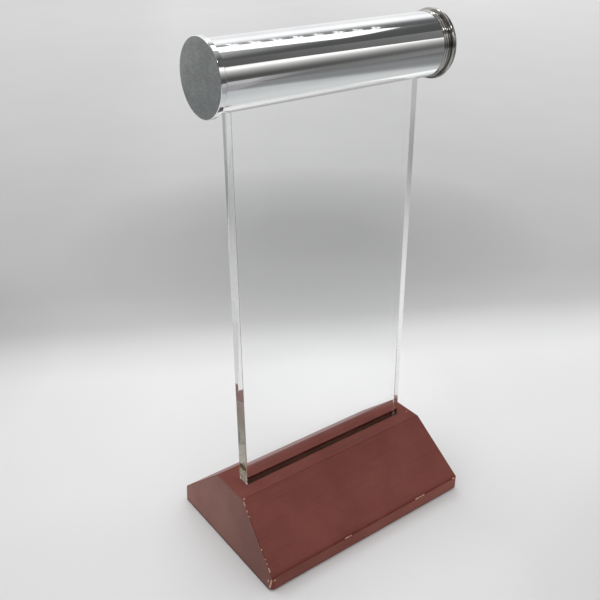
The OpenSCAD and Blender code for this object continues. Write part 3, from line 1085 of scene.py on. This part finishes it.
def softBox(name, place, aim, size, strength):
    noneSelected()
    bpy.ops.object.light_add(type="AREA", location=place)
    lamp = bpy.context.object
    lamp.name = name
    lamp.rotation_euler = (Vector(aim) - Vector(place)).to_track_quat("-Z", "Y").to_euler()
    lamp.data.shape = "RECTANGLE"
    lamp.data.size, lamp.data.size_y = size
    lamp.data.energy = strength * size[0] * size[1]
    lamp.visible_camera = lamp.visible_transmission = False
    return lamp


lightLook = {"fill": 0.78, "top": 2.3, "back": 2.4}

# what stands round the stand, as the polished metal sees it: place in metres, brightness
frontTones = [(0.0, 0.17), (0.06, 0.165), (0.12, 0.17), (0.165, 0.14), (0.19, 0.1), (0.22, 0.085),
              (0.255, 0.085), (0.285, 0.115), (0.31, 0.148), (0.345, 0.205), (0.373, 0.28), (0.436, 0.46),
              (0.504, 0.8), (0.55, 1.2), (0.63, 1.25), (0.69, 0.16), (0.73, 0.1), (0.93, 0.075),
              (1.2, 0.09), (1.5, 0.14), (1.9, 0.26)]
screenTones = [(0.55, 0.11), (1.4, 0.08)]
tableTones = [(-1.75, 0.17), (-1.4, 0.22), (-1.16, 0.265), (-0.95, 0.26), (-0.86, 0.27), (-0.8, 0.31),
              (-0.755, 0.35), (-0.7, 0.5), (-0.66, 0.56), (-0.6, 0.59), (-0.4, 0.62), (-0.1, 0.63)]
strewnTones = [(0.0, 0.64), (0.012, 0.84), (0.035, 1.03), (0.05, 1.0), (0.08, 0.9), (0.12, 0.75),
               (0.17, 0.56), (0.26, 0.36), (0.7, 0.36)]
backTones = [(0.0, 0.85), (1.1, 1.0)]
roofTones = [(-0.6, 0.1), (0.1, 0.13), (0.17, 0.19), (0.21, 0.27), (0.285, 0.46), (0.36, 0.84),
             (0.42, 0.99), (0.5, 1.15), (0.65, 1.19), (0.8, 1.1), (0.95, 1.01), (1.25, 0.93),
             (1.7, 0.89), (1.9, 0.88)]
glowTones = [(-1.2, 0.09), (-0.95, 0.1), (-0.89, 0.12), (-0.78, 0.2), (-0.69, 0.27), (-0.6, 0.36),
             (-0.4, 0.5)]
leftTones = [(0.0, 0.16), (1.1, 0.13)]
sideTones = [(0.0, 0.14), (1.1, 0.1)]
sheetTones = [(0.0, 0.38), (0.02, 0.39), (0.06, 0.45), (0.09, 0.52), (0.13, 0.53), (0.165, 0.47)]
sheetEndTones = [(0.335, 0.38), (0.365, 0.31), (0.4, 0.22), (0.46, 0.2)]
flatSheetTones = [(-0.2, 0.38), (0.5, 0.37)]
underTones = [(-0.013, 0.07), (-0.0068, 0.07), (-0.0062, 0.58), (0.001, 0.6)]
rimTones = [(-0.05, 0.1), (-0.03, 0.1)]
clipTones = [(-0.3, 1.9), (0.8, 1.9)]
lampTones = [(-0.3, 1.5), (0.8, 1.5)]
glintTones = [(-1.0, 7.0), (1.2, 7.0)]

# tints of the cards and the ways they stand
white, warm, cool, lilac = (1, 1, 1), (1.0, 1.0, 0.965), (0.965, 0.99, 1.0), (1.0, 0.98, 1.0)
lying, facing, sideways = (0, 0, 0), (pi / 2, 0, 0), (0, pi / 2, 0)
liftFrom = 0.35  # where a card begins to be paler


clipSetup = {
    "pairs": 8, "first": 0.427, "step": 0.0386, "wide": 0.005, "turn": -0.125,
    "each": ((0, 0.142), (0.011, 0.098)),  # shift and length
}


def card(name, place, size, turn, axis, tones, tint=white, slant=0.0, lift=0.0, beyond=0.0):
    noneSelected()
    bpy.ops.mesh.primitive_plane_add(size=1, location=place, rotation=turn)
    bpy.context.object.scale = (size[0], size[1], 1)
    sheet = named(name)
    mat, tree = newMaterial(name + "Tone")[:2]
    x = placeOn(tree, "X")
    low, high = tones[0][0], tones[-1][0]
    at = sums(tree, "ADD", placeOn(tree, axis), sums(tree, "MULTIPLY", x, slant))
    colour = times(tree, ramp(tree, spread(tree, at, 0, 1, low, high), greys(tones, low, high)), tint)
    if lift:
        # a little paler to the right
        past = sums(tree, "MAXIMUM", sums(tree, "SUBTRACT", x, liftFrom), 0.0)
        colour = mix(tree, 1.0, colour, sums(tree, "MULTIPLY", past, lift), "ADD")
    glow = put(tree, "ShaderNodeEmission", {"Color": colour, "Strength": 1.0}).outputs[0]
    if beyond:
        # only the tube sees it, not the panel close by
        path = put(tree, "ShaderNodeLightPath").outputs["Ray Length"]
        clear = put(tree, "ShaderNodeBsdfTransparent").outputs[0]
        seen = sums(tree, "GREATER_THAN", path, beyond)
        glow = put(tree, "ShaderNodeMixShader", {0: seen, 1: clear, 2: glow}).outputs[0]
    tree.links.new(glow, tree.nodes["Material Output"].inputs["Surface"])
    wear(sheet, mat)
    sheet.visible_camera = sheet.visible_diffuse = False
    sheet.visible_transmission = sheet.visible_shadow = False
    return sheet


def makeLight():
    world = bpy.data.worlds.new("studio")
    bpy.context.scene.world = world
    world.use_nodes = True
    sky = world.node_tree.nodes["Background"]
    sky.inputs["Color"].default_value = (1.0, 1.0, 1.0, 1)
    sky.inputs["Strength"].default_value = lightLook["fill"]
    topBox = softBox("topBox", (0.03, 0.01, 1.06), (0.03, 0.01, 0.0), (1.3, 0.44), lightLook["top"])
    topBox.visible_glossy = False
    softBox("backBox", (0.4, 2.2, 1.7), (0.4, 0.66, 0.0), (6.0, 2.7), lightLook["back"])


def moveTo(test, target):
    here = []
    pick("VERT", lambda v: test(v.co) and not here.append(v.co.copy()))
    bpy.ops.transform.translate(value=Vector(target) - here[0])


# the metal sees these only in its reflections
def makeCards():
    card("frontCard", (0.5, -0.6, 0.95), (5.0, 1.9), facing, "Z", frontTones, warm, 0.0, 0.2)
    card("sheetCard", (0.0175, -0.595, 0.0825), (0.635, 0.165), facing, "Z", sheetTones, lilac)
    sheetEnd = card("sheetEndCard", (0.3975, -0.595, 0.0825), (0.125, 0.165), facing, "X", sheetEndTones,
                    lilac)
    edit(sheetEnd)
    moveTo(lambda c: c.x > 0.4 and c.z < 0.05, (0.46, -0.595, 0.13))
    moveTo(lambda c: c.x > 0.4 and c.z > 0.15, (0.46, -0.595, 0.15))
    done()
    card("flatSheetCard", (0.186, -0.6035, 0.003), (0.38, 0.3), (0, 0, radians(-54)), "X",
         flatSheetTones, lilac)
    card("underCard", (-0.006, -0.01825, 0.15), (0.014, 0.0255), lying, "X", underTones, beyond=0.09)
    card("rimCard", (-0.0413, -0.0108, 0.2), (0.0105, 0.0125), lying, "X", rimTones, beyond=0.04)
    card("tableCard", (0.5, -0.2985, 0.002), (5.0, 0.603), lying, "Y", tableTones, cool, -2.05)
    card("strewnCard", (0.6, 0.353, 0.0015), (1.6, 0.7), lying, "Y", strewnTones, cool)
    card("screenCard", (0.614, -0.59, 0.85), (2.4, 0.5), (pi / 2, 0.343, 0), "Z", screenTones, warm,
         0.0, 0.2)
    card("backCard", (1.0, 1.9, 0.53), (6.0, 1.06), facing, "Z", backTones)
    card("roofCard", (1.0, 0.65, 1.07), (6.0, 2.5), lying, "Y", roofTones)
    card("sideCard", (1.6, 0.1, 0.55), (1.1, 1.4), sideways, "Z", sideTones)
    card("glowCard", (1.0, -0.34, 1.065), (3.0, 0.56), lying, "Y", glowTones, slant=-0.9)
    card("leftCard", (-1.3, 0.3, 0.55), (1.1, 1.9), sideways, "Z", leftTones, warm)

    # ceiling lamp, narrower towards its pointed right end
    high = 1.06
    lamp = card("lampCard", (0.49, 0.0, high), (0.38, 0.4), lying, "Y", lampTones)
    edit(lamp)
    moveTo(lambda c: c.x < 0.49 and c.y < 0, (0.3, -0.055, high))
    moveTo(lambda c: c.x < 0.49 and c.y > 0, (0.3, 0.228, high))
    moveTo(lambda c: c.x > 0.49 and c.y < 0, (0.655, -0.24, high))
    moveTo(lambda c: c.x > 0.49 and c.y > 0, (0.68, 0.047, high))
    pick("EDGE", lambda e: min(v.co.x for v in e.verts) > 0.6)
    pullOut((0.05, 0, 0))
    moveTo(lambda c: c.x > 0.69 and c.y < 0, (0.705, -0.2, high))
    moveTo(lambda c: c.x > 0.69 and c.y > 0, (0.71, 0.004, high))
    pick("EDGE", lambda e: min(v.co.x for v in e.verts) > 0.69)
    pullOut((0.0525, 0.03, 0))
    bpy.ops.mesh.merge(type="CENTER")
    done()

    # two more lamps further left, seen only where an edge is turned that way
    card("leftLampCard", (0.06, 0.29, high), (0.36, 0.1), lying, "Y", glintTones)
    card("frontLampCard", (0.05, -0.585, 0.93), (0.3, 0.14), facing, "Z", glintTones)

    # pairs of small clips along the ceiling lamp's back edge
    s = clipSetup
    for k in range(s["pairs"]):
        for side, reach in s["each"]:
            x = s["first"] + s["step"] * k + side
            y = 0.228 - 0.48 * (x - 0.3) + reach / 2 - 0.01
            card("clip%d%d" % (k, side > 0), (x + 0.095 * reach - s["wide"], y, high),
                 (s["wide"], reach + 0.02), (0, 0, s["turn"]), "Y", clipTones)


cameraSetup = {
    "place": (-0.23866, -0.30297, 0.3356), "turn": (62.407, 0.251, -36.414), "lens": 48.35, "sensor": 36,
    "clipStart": 0.01,
}


def makeCamera():
    s = cameraSetup
    bpy.ops.object.camera_add(location=s["place"], rotation=tuple(radians(a) for a in s["turn"]))
    camera = bpy.context.object
    camera.data.sensor_width = s["sensor"]
    camera.data.lens = s["lens"]
    camera.data.clip_start = s["clipStart"]
    bpy.context.scene.camera = camera


makeFloor()
makeLight()
makeCards()
makeCamera()
scene = bpy.context.scene
scene.view_settings.view_transform = "Standard"
# clear sheet and mirror need many bounces
scene.cycles.max_bounces = 24
scene.cycles.glossy_bounces = 20
scene.cycles.transmission_bounces = 20
print("stage ready")
